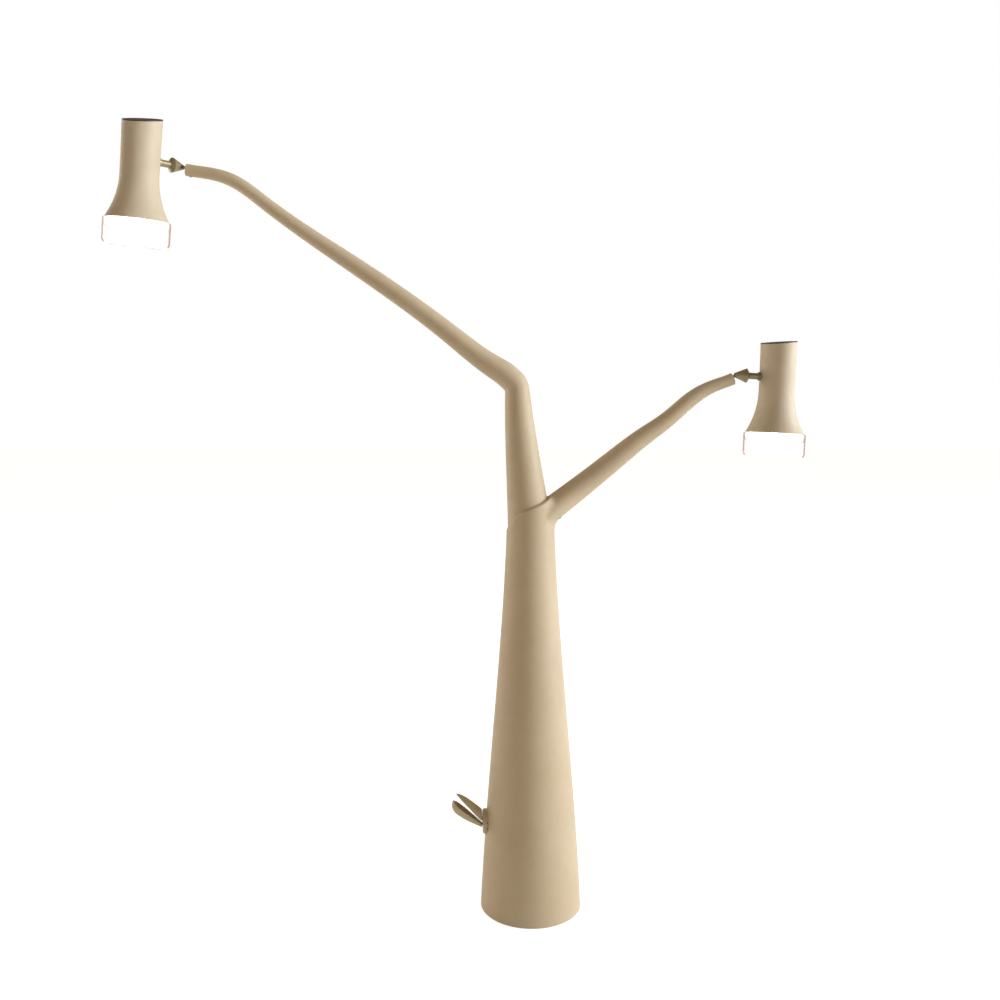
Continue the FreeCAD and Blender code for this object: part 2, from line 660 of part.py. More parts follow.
def make_fork():
    """Cast joint: a plug in the mast's top and a socket for each inner tube."""
    plug_r = MAST_R - MAST_WALL - SCREW_FIT
    top = FORK_CENTRE
    parts = [rod(plug_r, UP * (MAST_TOP - FORK_SPIGOT_DEPTH), top), rod(MAST_R, UP * MAST_TOP, top),
             Part.makeSphere(FORK_BALL_R, top)]
    holes = []
    grubs = []
    for foot, way in ((UPPER_AXIS_FOOT, UPPER_WAY), (BRANCH_AXIS_FOOT, BRANCH_WAY)):
        mouth = foot + way * FORK_SOCKET_LENGTH
        parts.append(rod(FORK_SOCKET_R, foot, mouth))
        holes.append(rod(CORE_R + SCREW_FIT, foot + way * FORK_SOCKET_FLOOR, mouth))
        seat = mouth - way * GRUB_INSET
        grub = rod(GRUB_R, seat - SIDE * (CORE_R + SCREW_FIT),
                   seat - SIDE * (CORE_R + SCREW_FIT + GRUB_LENGTH))
        grubs.append(grub)
        holes.append(rod(GRUB_R + SCREW_FIT, seat, seat - SIDE * 2 * FORK_SOCKET_R))
    casting = fused(parts)
    for hole in holes:
        casting = casting.cut(hole)
    save("fork_casting", casting)
    save("fork_grub_screws", Part.makeCompound(grubs))


def make_inner_tubes():
    tip_way = toward(BRANCH_TIP_ANGLE)
    knee = meeting(BRANCH_AXIS_FOOT, BRANCH_WAY, xz(BRANCH_TIP), tip_way)
    points = [BRANCH_AXIS_FOOT + BRANCH_WAY * FORK_SOCKET_FLOOR, knee, cap_rear(BRANCH_TIP, tip_way)]
    save("branch_tube", bent_tube(points, CORE_R, CORE_WALL, [CORE_KNEE_BEND_R]))

    tip_way = toward(ARM_TIP_ANGLE, -1)
    far_way = unit(xz(ARM_STATIONS[3]) - xz(ARM_STATIONS[2]))
    knee = meeting(xz(ARM_STATIONS[2]), far_way, xz(ARM_TIP), tip_way)
    elbow = meeting(UPPER_AXIS_FOOT, UPPER_WAY, xz(ELBOW), ARM_WAY)
    points = [UPPER_AXIS_FOOT + UPPER_WAY * FORK_SOCKET_FLOOR, elbow, xz(ARM_STATIONS[2]), knee,
              cap_rear(ARM_TIP, tip_way)]
    bends = [CORE_ELBOW_BEND_R, CORE_ARM_BEND_R, CORE_KNEE_BEND_R]
    save("arm_tube", bent_tube(points, CORE_R, CORE_WALL, bends))


# ---------------------------------------------------------------- upper trunk with the long arm
def make_upper_trunk_shell():
    foot = upper_trunk(0.0).common(roof_cutter(UPPER_SKIRT))
    outer = fused([foot, elbow_bend(0.0), arm_body(0.0, END_CAP_COLLAR)])
    inner = fused([upper_trunk(ARM_WALL), elbow_bend(ARM_WALL), arm_body(ARM_WALL, -TOLERANCE_PAD)])
    shell = outer.cut(inner).cut(arm_screw_tool(SEAT / 2))
    save("upper_trunk_shell", shell)


def make_end_cap(name, tip, way, inside, extra_hole=None):
    """Turned plug that closes a cover's end, carries the tube's end and holds the neck."""
    face = xz(tip)
    up = unit(SIDE.cross(way))
    up = up if up.z > 0 else -up
    rear = face - way * (END_CAP_SOLID + CORE_IN_CAP)
    plug = rod(tip[2], rear, face - way * END_CAP_COLLAR).common(inside)
    cap = plug.fuse(rod(tip[2], face - way * END_CAP_COLLAR, face))
    cap = cap.cut(rod(CORE_R + SCREW_FIT, rear, face - way * END_CAP_SOLID))
    neck = face + up * NECK_OFFSET
    cap = cap.cut(rod(NECK_R + RUNNING, neck - way * (NECK_SHANK + SEAT), neck))
    if extra_hole:
        cap = cap.cut(extra_hole)
    save(name, cap.removeSplitter())
    return neck


# ---------------------------------------------------------------- screws that show
def branch_screw_axis():
    """Seat and outward direction of the screw on the branch's underside."""
    turn = math.radians(BRANCH_SCREW_TURN)
    below = unit(BRANCH_WAY.cross(SIDE))
    below = below if below.z < 0 else -below
    outward = -SIDE * math.cos(turn) + below * math.sin(turn)
    start = xz(BRANCH_STATIONS[0]) - BRANCH_WAY * BRANCH_SCREW_BACK
    ray = Part.makeLine(start, start + outward * TRUNK_BASE_R)
    seat = ray.common(branch_body(0.0, END_CAP_COLLAR)).BoundBox
    reach = max(abs(seat.YMin - start.y) / math.cos(turn), TOLERANCE_PAD)
    return start + outward * reach, outward


def branch_screw_tool(clearance):
    seat, outward = branch_screw_axis()
    return rod(SKIN_SCREW_SHANK_R + clearance, seat - outward * BRANCH_SCREW_LENGTH, seat + outward)


def arm_screw_axis():
    way = toward(ARM_TIP_ANGLE, -1)
    below = unit(way.cross(SIDE))
    below = below if below.z < 0 else -below
    return xz(ARM_TIP) - way * ARM_SCREW_BACK + below * ARM_TIP[2], below


def arm_screw_tool(clearance):
    seat, outward = arm_screw_axis()
    length = ARM_TIP[2] + NECK_OFFSET - NECK_R - RUNNING - ARM_SCREW_GAP
    return rod(SKIN_SCREW_SHANK_R + clearance, seat - outward * length, seat + outward * SKIN_SCREW_HEAD / 2)


def make_shown_screws():
    seat, outward = branch_screw_axis()
    head = rod(SKIN_SCREW_R, seat - outward * SKIN_SCREW_HEAD, seat + outward * SKIN_SCREW_HEAD)
    head = head.cut(branch_body(0.0, END_CAP_COLLAR))
    save("branch_screw", head.fuse(rod(SKIN_SCREW_SHANK_R, seat - outward * BRANCH_SCREW_LENGTH,
                                       seat + outward)))
    seat, outward = arm_screw_axis()
    head = rod(SKIN_SCREW_R, seat, seat + outward * SKIN_SCREW_HEAD).cut(arm_body(0.0, END_CAP_COLLAR))
    save("arm_screw", head.fuse(arm_screw_tool(0.0)))


# ---------------------------------------------------------------- driver and cable inlet
def make_driver():
    tray_top = TRAY_BOTTOM + DRIVER_HEIGHT + TRAY_BORDER
    half = DRIVER_WIDTH / 2
    plate_y = (TRAY_STANDOFF, TRAY_STANDOFF + TRAY_THICKNESS)
    collar = tube(TRAY_COLLAR_R, MAST_R + SCREW_FIT, UP * TRAY_BOTTOM,
                  UP * (TRAY_BOTTOM + TRAY_COLLAR_HEIGHT))
    plate = block((-half - TRAY_BORDER, half + TRAY_BORDER), plate_y, (TRAY_BOTTOM, tray_top))
    web = block((-TRAY_WEB / 2, TRAY_WEB / 2), (TRAY_COLLAR_R - TRAY_THICKNESS, TRAY_STANDOFF),
                (TRAY_BOTTOM, TRAY_BOTTOM + TRAY_COLLAR_HEIGHT))
    save("driver_tray", fused([collar, plate, web]))

    low = TRAY_BOTTOM + TRAY_BORDER / 2
    high = low + DRIVER_HEIGHT
    near = plate_y[1]
    far = near + DRIVER_DEPTH
    case = block((-half, half), (near, far), (low, high))
    case = case.cut(block((-half + DRIVER_WALL, half - DRIVER_WALL), (near + DRIVER_WALL, far),
                          (low + DRIVER_WALL, high - DRIVER_WALL)))
    corners = [V(x, far, z) for x in (-half + DRIVER_SCREW_INSET, half - DRIVER_SCREW_INSET)
               for z in (low + DRIVER_SCREW_INSET, high - DRIVER_SCREW_INSET)]
    for corner in corners:
        case = case.fuse(rod(DRIVER_POST_R, V(corner.x, near, corner.z), corner))
    case = drilled(case, corners, -SIDE, M3_R + SCREW_FIT, DRIVER_SCREW_LENGTH)
    save("driver_case", case.removeSplitter())

    lid = block((-half, half), (far, far + DRIVER_LID), (low, high))
    lid = drilled(lid, corners, SIDE, M3_R + SCREW_FIT, DRIVER_LID)
    save("driver_lid", lid)
    seats = [corner + SIDE * DRIVER_LID for corner in corners]
    save("driver_screws", Part.makeCompound([screw(seat, -SIDE, M3_R, DRIVER_SCREW_LENGTH, M3_HEAD_R,
                                                   M3_HEAD_HEIGHT)
                                             for seat in seats]))

    inner_near = near + DRIVER_WALL
    board_half = half - BOARD_GAP
    board_y = inner_near + BOARD_STANDOFF
    board = block((-board_half, board_half), (board_y, board_y + BOARD_THICKNESS),
                  (low + BOARD_GAP, high - BOARD_GAP))
    feet = [rod(BOARD_THICKNESS, V(x, inner_near, z), V(x, board_y, z))
            for x in (-board_half + BOARD_STANDOFF, board_half - BOARD_STANDOFF)
            for z in (low + BOARD_GAP + BOARD_STANDOFF, high - BOARD_GAP - BOARD_STANDOFF)]
    middle = (low + high) / 2
    room = DRIVER_DEPTH - DRIVER_WALL - BOARD_STANDOFF - 2 * BOARD_THICKNESS
    coil = block((-board_half / 2, board_half / 2), (board_y, board_y + room),
                 (middle, middle + board_half * 1.5))
    can_base = V(0, board_y, low + 2.5 * BOARD_GAP)
    can = rod(BOARD_GAP * 0.8, can_base, can_base + SIDE * room)
    save("driver_board", fused([board, coil, can] + feet))


def make_cable_inlet():
    wall_y = trunk_radius_at(INLET_Z)
    start = V(0, wall_y - INLET_INNER_END, INLET_Z)
    end = V(0, wall_y + INLET_PROUD, INLET_Z)
    barrel = rod(INLET_R, start, V(0, wall_y, INLET_Z))
    flange = rod(INLET_FLANGE_R, V(0, wall_y - INLET_PROUD, INLET_Z),
                 end).cut(trunk_body(0.0, TRUNK_BOTTOM))
    bush = fused([barrel, flange]).cut(rod(INLET_BORE_R, start, end))
    save("cable_inlet", bush)
    nut = tube(INLET_NUT_R, INLET_R + SCREW_FIT, V(0, wall_y - INLET_INNER_END, INLET_Z),
               V(0, wall_y, INLET_Z))
    nut = nut.common(TRUNK_CAVITY)
    save("cable_inlet_nut", max(nut.Solids, key=lambda solid: solid.Volume))


# ---------------------------------------------------------------- leaves
def leaf_pivots():
    x = -(trunk_radius_at(LEAF_Z) - LEAF_PIVOT_INSET)
    return (V(x, 0, LEAF_Z + LEAF_PIVOT_SPREAD / 2), V(x, 0, LEAF_Z - LEAF_PIVOT_SPREAD / 2))


def pod(length, shape, shrink, start, end):
    """Slim pod along Z: a round body whose radius follows (share, depth) points."""
    low = length * start
    high = length * end
    points = [(depth - shrink, low + (high - low) * share) for share, depth in shape]
    edges = [spline(points + [(0, high)]), line((0, high), (0, low)), line((0, low), points[0])]
    return revolve(edges)


def make_leaf(name, pivot, leaf, boss_face, sensor_face):
    root, length, slope, back, shape = leaf
    body = pod(length, shape, 0.0, 0.0, 1.0)
    cup_shape = [(share, max(depth, LEAF_BLADE_WALL + TOLERANCE_PAD)) for share, depth in shape]
    body = body.cut(pod(length, cup_shape, LEAF_BLADE_WALL, LEAF_CUP_START, LEAF_CUP_END))
    half = Part.makeBox(length, 2 * length, 3 * length, V(0, -length, -length))
    body = body.common(half)
    # local Z runs along the blade, local X towards its back
    along = toward(slope, -1)
    out = unit(V(-along.z, 0, along.x)) * back
    out = out if out.z * back > 0 else -out
    root_at = V(-trunk_radius_at(LEAF_Z) - root[0], 0, LEAF_Z + root[1])
    body = placed(body, placement(root_at, out, along))
    far = 2 * TRUNK_BASE_R
    blade = body.common(block((-far, boss_face - LEAF_BASE_GAP), (-far, far), (0, 2 * far)))
    half_y = LEAF_LUG_THICKNESS / 2
    bar = block((boss_face - LEAF_BAR_REACH, pivot.x), (-half_y, half_y),
                (pivot.z - LEAF_BAR_HEIGHT / 2, pivot.z + LEAF_BAR_HEIGHT / 2))
    bar_room = blade.common(bar)
    root_bar = bar.common(block((boss_face - LEAF_BASE_GAP, 0), (-far, far), (0, far)))
    eye = rod(LEAF_BAR_HEIGHT / 2, pivot - SIDE * half_y, pivot + SIDE * half_y)
    tail = block((pivot.x, sensor_face - LEAF_TAIL_GAP), (-half_y, half_y),
                 (pivot.z - LEAF_TAIL_HEIGHT / 2, pivot.z + LEAF_TAIL_HEIGHT / 2))
    lever = fused([blade, bar_room, root_bar, eye, tail])
    lever = lever.cut(rod(LEAF_PIN_R + RUNNING, pivot - SIDE * far, pivot + SIDE * far))
    return save(name, lever)


def make_leaves():
    wall_x = -trunk_radius_at(LEAF_Z)
    boss_face = wall_x - BOSS_PROUD
    inner_end = wall_x + BOSS_DEPTH
    axis = V(0, 0, LEAF_Z)
    flange = rod(BOSS_FLANGE_R, axis + V(boss_face, 0, 0), axis + V(wall_x + BOSS_PROUD, 0, 0))
    outer_edge = [edge for edge in flange.Edges if edge.BoundBox.XMax < boss_face + TOLERANCE_PAD]
    flange = flange.makeFillet(BOSS_ROUND, outer_edge).cut(TRUNK_SOLID)
    barrel = rod(BOSS_BARREL_R, axis + V(boss_face + BOSS_ROUND, 0, 0), axis + V(inner_end, 0, 0))
    boss = fused([flange, barrel])
    pins = []
    far = 2 * TRUNK_BASE_R
    for pivot in leaf_pivots():
        slot = block((-far, 0), (-LEAF_SLOT_WIDTH / 2, LEAF_SLOT_WIDTH / 2),
                     (pivot.z - LEAF_SLOT_HEIGHT / 2, pivot.z + LEAF_SLOT_HEIGHT / 2))
        boss = boss.cut(slot)
        boss = boss.cut(rod(LEAF_PIN_R + SCREW_FIT / 2, pivot - SIDE * far, pivot + SIDE * far))
        pins.append(rod(LEAF_PIN_R, pivot - SIDE * LEAF_PIN_HALF, pivot + SIDE * LEAF_PIN_HALF))
    save("leaf_boss", boss)
    save("leaf_pins", Part.makeCompound(pins))
    nut = tube(BOSS_NUT_R, BOSS_BARREL_R + SCREW_FIT, axis + V(wall_x, 0, 0),
               axis + V(wall_x + BOSS_NUT_DEPTH, 0, 0))
    nut = nut.common(TRUNK_CAVITY)
    save("leaf_boss_nut", max(nut.Solids, key=lambda solid: solid.Volume))
    upper, lower = leaf_pivots()
    for name, pivot in (("upper_sensor", upper), ("lower_sensor", lower)):
        half_height = LEAF_PIVOT_SPREAD / 2 - SEAT
        save(name, block((inner_end, inner_end + SENSOR_DEPTH), (-SENSOR_WIDTH / 2, SENSOR_WIDTH / 2),
                         (pivot.z - half_height, pivot.z + half_height)))
    make_leaf("upper_leaf", upper, UPPER_LEAF, boss_face, inner_end)
    make_leaf("lower_leaf", lower, LOWER_LEAF, boss_face, inner_end)


# ---------------------------------------------------------------- heads
RIM_Z = SHADE_TOP - SHADE_HEIGHT
STEM_REACH = CONE_FACE + CONE_BACK + STEM_LENGTH
WAIST_FACE = SHADE_WAIST_R + SEAT


def flare_radius():
    """Radius of the arc that is tangent to the waist and ends at the rim."""
    spread = SHADE_RIM_R - SHADE_WAIST_R
    return (spread ** 2 + SHADE_FLARE ** 2) / (2 * spread)


def shade_radius(height):
    """Outer radius of the shade at a height above its rim."""
    if height < SHADE_FLARE:
        radius = flare_radius()
        drop = SHADE_FLARE - height
        return SHADE_WAIST_R + radius - math.sqrt(radius ** 2 - drop ** 2)
    share = (height - SHADE_FLARE) / (SHADE_HEIGHT - SHADE_FLARE)
    return SHADE_WAIST_R + (SHADE_TOP_R - SHADE_WAIST_R) * share ** 2


def shade_side(inset, top):
    """Edges up the shade's side, from the rim to a height above it."""
    rim, middle, waist = [(shade_radius(height) - inset, RIM_Z + height)
                          for height in (0.0, SHADE_FLARE / 2, SHADE_FLARE)]
    upper = [(shade_radius(height) - inset, RIM_Z + height)
             for height in (SHADE_FLARE, (SHADE_FLARE + top) / 2, top)]
    return [arc(rim, middle, waist), spline(upper)], rim, upper[-1]


def shade_inside(inset=SHADE_WALL):
    """Everything inside the shade's outer face, less an inset, as a solid."""
    edges, rim, top = shade_side(inset, SHADE_HEIGHT + SHADE_SIDE_MARGIN)
    edges += [line(top, (0, top[1])), line((0, top[1]), (0, rim[1])), line((0, rim[1]), rim)]
    return revolve(edges)


def top_slab(rise, low, high):
    """Flat slab parallel to the slanted top, between two heights measured from it."""
    normal = unit(V(-math.tan(math.radians(rise[0])), -math.tan(math.radians(rise[1])), 1))
    half = 2 * SHADE_TOP_R
    slab = Part.makeBox(2 * half, 2 * half, high - low, V(-half, -half, low))
    return placed(slab, placement(UP * SHADE_TOP, V(1, 0, 0), normal))


def level(height):
    return V(0, 0, RIM_Z + height)


def head_frame(head):
    """Neck start, hinge point, directions of tip, stem and hinge, and the shade's placement."""
    side, tip, tip_angle, lean_side, lean_front, swing = head[1:7]
    way = toward(tip_angle, side)
    up = unit(SIDE.cross(way))
    up = up if up.z > 0 else -up
    neck = xz(tip) + up * NECK_OFFSET
    hinge = neck + way * (NECK_GAP + CONE_NOSE)
    axis = unit(V(math.tan(math.radians(lean_side)), -math.tan(math.radians(lean_front)), 1))
    turn = math.radians(swing)
    outward = V(side * math.cos(turn), -math.sin(turn), 0)
    stem_way = unit(outward - axis * outward.dot(axis))
    hinge_axis = unit(way.cross(stem_way))
    centre = hinge + stem_way * (STEM_REACH + WAIST_FACE)
    return neck, hinge, way, stem_way, hinge_axis, placement(centre, stem_way, axis)


def make_neck(name, neck, hinge, way, hinge_axis):
    shank = rod(NECK_R, neck - way * NECK_SHANK, neck + way * NECK_ROUND)
    length = (hinge - neck).Length
    flat = Part.makeBox(length, 2 * NECK_R, NECK_TONGUE, V(0, -NECK_R, -NECK_TONGUE / 2))
    flat = placed(flat, placement(neck, way, hinge_axis))
    half = hinge_axis * (NECK_TONGUE / 2)
    eye = rod(NECK_R, hinge - half, hinge + half)
    whole = fused([shank, flat.common(rod(NECK_R, neck, hinge)), eye])
    whole = whole.cut(rod(HINGE_PIN_R + RUNNING, hinge - hinge_axis * length, hinge + hinge_axis * length))
    return save(name, whole)


def make_cone(name, hinge, stem_way, hinge_axis):
    nose = hinge - stem_way * CONE_NOSE
    face = hinge + stem_way * CONE_FACE
    long_cone = Part.makeCone(CONE_NOSE_R, CONE_R, CONE_NOSE + CONE_FACE, nose, stem_way)
    back_cone = Part.makeCone(CONE_R, CONE_BACK_R, CONE_BACK, face, stem_way)
    cone = fused([long_cone, back_cone])
    half_slot = NECK_TONGUE / 2 + CONE_SLOT_SIDE
    slot = Part.makeBox(CONE_NOSE + CONE_SLOT_END + TOLERANCE_PAD, 4 * CONE_R, 2 * half_slot,
                        V(-CONE_NOSE - TOLERANCE_PAD, -2 * CONE_R, -half_slot))
    cone = cone.cut(placed(slot, placement(hinge, stem_way, hinge_axis)))
    cone = cone.cut(rod(HINGE_PIN_R, hinge - hinge_axis * HINGE_PIN_HALF,
                        hinge + hinge_axis * HINGE_PIN_HALF))
    return save(name, cone)


def make_stem(head_name, shade_at):
    """Stem with its collar and spigot, and the nut behind the hub, along local X."""
    start = V(-WAIST_FACE - STEM_LENGTH, 0, 0)
    face = V(-WAIST_FACE, 0, 0)
    hub_inner = V(-SHADE_WAIST_R + SHADE_WALL + HUB_DEPTH, 0, 0)
    nut_start = hub_inner + V(SEAT / 2, 0, 0)
    nut_end = nut_start + V(NUT_THICKNESS, 0, 0)
    stem = fused([rod(STEM_R, start, face), rod(STEM_COLLAR_R, face - V(STEM_COLLAR, 0, 0), face),
                  rod(SPIGOT_R, face, nut_end)])
    save(head_name + "_stem", placed(stem, shade_at))
    hexagon = [V(0, NUT_R * math.cos(math.radians(60 * i)), NUT_R * math.sin(math.radians(60 * i)))
               for i in range(7)]
    nut = Part.Face(Part.makePolygon([nut_start + corner
                                      for corner in hexagon])).extrude(nut_end - nut_start)
    save(head_name + "_stem_nut", placed(nut.cut(rod(SPIGOT_R, start, nut_end)), shade_at))


def make_shade(head_name, rise, shade_at):
    far = 2 * SHADE_HEIGHT
    outer = shade_inside(0.0)
    shade = outer.cut(shade_inside()).cut(top_slab(rise, -CAP_THICKNESS, far))
    bore = rod(SPIGOT_R + RUNNING, V(-2 * SHADE_WAIST_R, 0, 0), ORIGIN)
    save(head_name + "_shade", placed(shade.cut(bore), shade_at))

    drum_r = SHADE_WAIST_R - SHADE_WALL - SEAT / 2
    cavity = rod(drum_r, V(0, 0, -2 * HUB_R), V(0, 0, 2 * HUB_R))
    hub_end = -SHADE_WAIST_R + SHADE_WALL + HUB_DEPTH
    cover_end = hub_end + SEAT + NUT_THICKNESS + HUB_COVER_GAP
    hub = rod(HUB_R, V(-SHADE_WAIST_R, 0, 0), V(hub_end, 0, 0)).common(cavity).cut(bore)
    cover = rod(HUB_R, V(hub_end, 0, 0), V(cover_end + HUB_COVER_WALL, 0, 0))
    cover = cover.cut(rod(NUT_R + HUB_COVER_GAP, V(hub_end, 0, 0), V(cover_end, 0, 0)))
    save(head_name + "_swivel_hub", placed(Part.makeCompound([hub, cover]), shade_at))

    cap = outer.common(top_slab(rise, -CAP_THICKNESS, 0.0))
    for index in range(CAP_SLOTS):
        slot = block((CAP_SLOT_CIRCLE_R - CAP_SLOT_LENGTH / 2, CAP_SLOT_CIRCLE_R + CAP_SLOT_LENGTH / 2),
                     (-CAP_SLOT_WIDTH / 2, CAP_SLOT_WIDTH / 2), (0, far))
        slot.rotate(ORIGIN, UP, 360.0 * (index + 0.5) / CAP_SLOTS)
        cap = cap.cut(slot)
    plug_r = SHADE_TOP_R - SHADE_WALL - SEAT
    plug = tube(plug_r, plug_r - CAP_PLUG_WALL, ORIGIN, UP * far)
    plug = plug.common(shade_inside(SHADE_WALL + SEAT / 2))
    plug = plug.common(top_slab(rise, -CAP_THICKNESS - CAP_PLUG_DEPTH, -CAP_THICKNESS))
    save(head_name + "_shade_cap", placed(fused([cap, plug]), shade_at))


def make_lamp(head_name, shade_at):
    """Holder on its bridge, bulb and reflector."""
    cavity = shade_inside()
    bridge_z = (RIM_Z + HOLDER_TOP, RIM_Z + HOLDER_TOP + BRIDGE_THICKNESS)
    bridge = block((-BRIDGE_WIDTH / 2, BRIDGE_WIDTH / 2), (-SHADE_TOP_R, SHADE_TOP_R),
                   bridge_z).common(cavity)
    save(head_name + "_holder_bridge", placed(bridge, shade_at))
    holder = rod(HOLDER_R, level(HOLDER_BOTTOM), level(HOLDER_TOP))
    holder = holder.cut(rod(BULB_SCREW_R + RUNNING, level(HOLDER_BOTTOM),
                            level(HOLDER_BOTTOM + HOLDER_SOCKET_DEPTH)))
    save(head_name + "_lamp_holder", placed(holder, shade_at))

    globe = Part.makeSphere(BULB_R, level(BULB_CENTRE))
    collar = rod(BULB_NECK_R, level(BULB_CENTRE), level(HOLDER_BOTTOM - SEAT))
    thread = rod(BULB_SCREW_R, level(BULB_CENTRE), level(HOLDER_BOTTOM + BULB_SCREW_LENGTH))
    save(head_name + "_bulb", placed(fused([globe, collar, thread]), shade_at))

    ring_top = GLASS_NECK_HEIGHT + GLASS_RING_HEIGHT
    foot = (shade_radius(ring_top) - SHADE_WALL - REFLECTOR_RIM_INSET, RIM_Z + ring_top)
    top = (REFLECTOR_TOP_R, RIM_Z + REFLECTOR_TOP)
    middle = ((foot[0] + top[0]) / 2 + REFLECTOR_RIM_INSET, (foot[1] + top[1]) / 2 + REFLECTOR_RIM_INSET)
    rise = REFLECTOR_WALL
    collar_in = (HOLDER_R + SCREW_FIT, top[1])
    shell = [arc(foot, middle, top), line(top, collar_in), line(collar_in, (collar_in[0], top[1] + rise)),
             line((collar_in[0], top[1] + rise), (top[0] + rise / 2, top[1] + rise)),
             arc((top[0] + rise / 2, top[1] + rise), (middle[0] + rise, middle[1]),
                 (foot[0] + rise, foot[1])),
             line((foot[0] + rise, foot[1]), foot)]
    save(head_name + "_reflector", placed(revolve(shell), shade_at))


def make_glass(head_name, shade_at):
    """Thick clear cup: a bowl-shaped hollow in a block with straight sides and a round edge."""
    bottom = RIM_Z - GLASS_HEIGHT
    shoulder = RIM_Z - SEAT
    neck_top = RIM_Z + GLASS_NECK_HEIGHT
    slant = math.sqrt(0.5)
    corner = (GLASS_R - GLASS_CORNER_R * (1 - slant), bottom + GLASS_CORNER_R * (1 - slant))
    upper = (GLASS_R - GLASS_SHOULDER_R * (1 - slant), shoulder - GLASS_SHOULDER_R * (1 - slant))
    bowl_floor = (0, RIM_Z - GLASS_BOWL_DEPTH)
    sphere_r = (GLASS_BOWL_R ** 2 + GLASS_BOWL_DEPTH ** 2) / (2 * GLASS_BOWL_DEPTH)
    rise = sphere_r * (1 - math.cos(math.radians(GLASS_BOWL_MID_DEG)))
    bowl_side = (sphere_r * math.sin(math.radians(GLASS_BOWL_MID_DEG)), bowl_floor[1] + rise)
    edges = [
        line((0, bottom), (GLASS_R - GLASS_CORNER_R, bottom)),
        arc((GLASS_R - GLASS_CORNER_R, bottom), corner, (GLASS_R, bottom + GLASS_CORNER_R)),
        line((GLASS_R, bottom + GLASS_CORNER_R), (GLASS_R, shoulder - GLASS_SHOULDER_R)),
        arc((GLASS_R, shoulder - GLASS_SHOULDER_R), upper, (GLASS_R - GLASS_SHOULDER_R, shoulder)),
        line((GLASS_R - GLASS_SHOULDER_R, shoulder), (GLASS_NECK_R, shoulder)),
        line((GLASS_NECK_R, shoulder), (GLASS_NECK_R, neck_top)),
        line((GLASS_NECK_R, neck_top), (GLASS_BOWL_R, neck_top)),
        line((GLASS_BOWL_R, neck_top), (GLASS_BOWL_R, RIM_Z)),
        arc((GLASS_BOWL_R, RIM_Z), bowl_side, bowl_floor),
        line(bowl_floor, (0, bottom)),
    ]
    save(head_name + "_glass", placed(revolve(edges), shade_at))
    ring = tube(SHADE_RIM_R, GLASS_RING_INNER_R, level(GLASS_NECK_HEIGHT),
                level(GLASS_NECK_HEIGHT + GLASS_RING_HEIGHT))
    save(head_name + "_glass_ring", placed(ring.common(shade_inside()), shade_at))


def make_head(head):
    name = head[0]
    neck, hinge, way, stem_way, hinge_axis, shade_at = head_frame(head)
    make_neck(name + "_neck", neck, hinge, way, hinge_axis)
    make_cone(name + "_knuckle", hinge, stem_way, hinge_axis)
    save(name + "_hinge_pin", rod(HINGE_PIN_R, hinge - hinge_axis * HINGE_PIN_HALF,
                                  hinge + hinge_axis * HINGE_PIN_HALF))
    make_stem(name, shade_at)
    make_shade(name, head[7:], shade_at)
    make_lamp(name, shade_at)
    make_glass(name, shade_at)
    bend = math.degrees(way.getAngle(stem_way))
    print(name, "neck", tuple(neck), "way", tuple(way))
    print(name, "hinge", tuple(hinge), "axis", tuple(hinge_axis), "bend", bend)
    print(name, "stem way", tuple(stem_way), "shade", tuple(shade_at.Base), "up",
          tuple(shade_at.Rotation.multVec(UP)))


def main():
    os.makedirs("parts", exist_ok=True)
    make_trunk_shell()
    make_foot()
    make_mast()
    make_fork()
    make_inner_tubes()
    make_upper_trunk_shell()
    make_end_cap("branch_end_cap", BRANCH_TIP, toward(BRANCH_TIP_ANGLE),
                 branch_body(BRANCH_WALL + SEAT / 2, -TOLERANCE_PAD))
    make_end_cap("arm_end_cap", ARM_TIP, toward(ARM_TIP_ANGLE, -1),
                 arm_body(ARM_WALL + SEAT / 2, -TOLERANCE_PAD),
                 arm_screw_tool(SCREW_FIT))
    make_shown_screws()
    make_driver()
    make_cable_inlet()
    make_leaves()
    for head in HEADS:
        make_head(head)
    pivots = leaf_pivots()
    print("leaf pivots", tuple(pivots[0]), tuple(pivots[1]))
    print("inlet wall y", trunk_radius_at(INLET_Z))


main()
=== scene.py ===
import json
import math

import bpy
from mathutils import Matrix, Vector

# Tree floor lamp: looks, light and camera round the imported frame. Metres, +Z up, -Y towards the viewer.

# ---- camera, fitted to the photograph ----
IMAGE_SIZE = 1000.0          # width and height of the photograph, in pixels
FOCAL_PX = 930.0
HORIZON_ROW = 428.0          # pixel row of the horizon
CAMERA_AT = (-0.250, -2.4285, 1.2463)
CAMERA_TURN_DEG = -4.0       # turn about Z from looking along +Y
SENSOR_MM = 36.0
NEAR_CLIP = 0.05

# ---- light and room ----
KEY_LIGHT = dict(at=(11.0, -2.0, 4.2), aim_height=1.3, size=(4.0, 6.0), power=1680.0,
                 colour=(238, 246, 255))
EDGE_LIGHT = dict(at=(-5.0, 2.6, 1.9), aim_height=1.1, size=(2.0, 3.0), power=110.0,
                  colour=(255, 250, 244))
WORLD_LIGHT = 0.37           # strength of the even light from all sides
WORLD_WARM = (1.0, 0.82, 0.62, 1.0)
FLOOR_HALF = 60.0
FLOOR_GLOW_SHARE = 0.5
FLOOR_GLOW = 1.75            # lifts the floor to white and leaves the shadow at the foot

